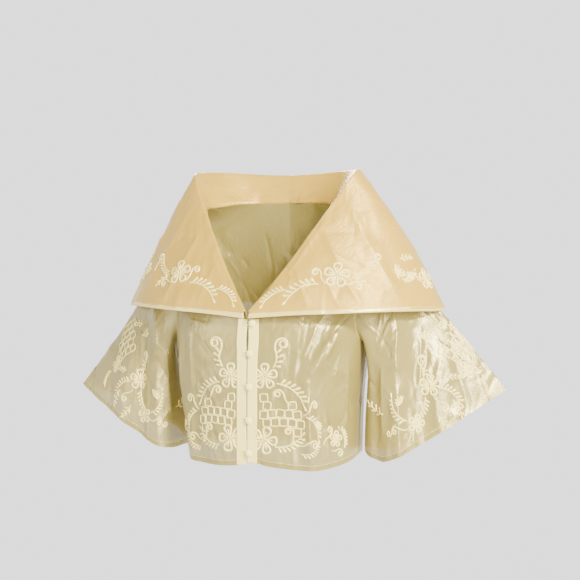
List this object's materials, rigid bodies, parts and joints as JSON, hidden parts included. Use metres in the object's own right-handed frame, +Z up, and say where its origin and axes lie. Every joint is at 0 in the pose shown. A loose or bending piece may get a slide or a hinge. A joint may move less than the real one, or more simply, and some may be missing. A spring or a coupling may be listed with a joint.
{
  "type": "bolero",
  "caption": "Short sheer organza bolero with a deep fold-over collar, bell sleeves, covered buttons and floral embroidery, hollow and in its worn pose.",
  "frame": {"origin": "midway between the two neck points of the shoulder seams, where the garment hangs from a wearer or hanger", "axes": "+X to the wearer's left, -Y out of the front, +Z up"},
  "size_m": [0.827, 0.296, 0.5176],
  "materials": {
    "organza": "sheer, crisp, soft sheen",
    "collar_cloth": "double organza, soft sheen",
    "band_cloth": "folded organza, soft sheen",
    "cream_satin": "satin"
  },
  "bodies": {
    "root": {"front_right": "organza", "front_left": "organza", "back": "organza", "sleeve_right": "organza", "sleeve_left": "organza", "collar": "collar_cloth", "band_right": "band_cloth", "band_left": "band_cloth", "button_1": "cream_satin", "button_2": "cream_satin", "button_3": "cream_satin", "button_4": "cream_satin", "button_5": "cream_satin", "loop_1": "cream_satin", "loop_2": "cream_satin", "loop_3": "cream_satin", "loop_4": "cream_satin", "loop_5": "cream_satin"}
  },
  "joints": []
}
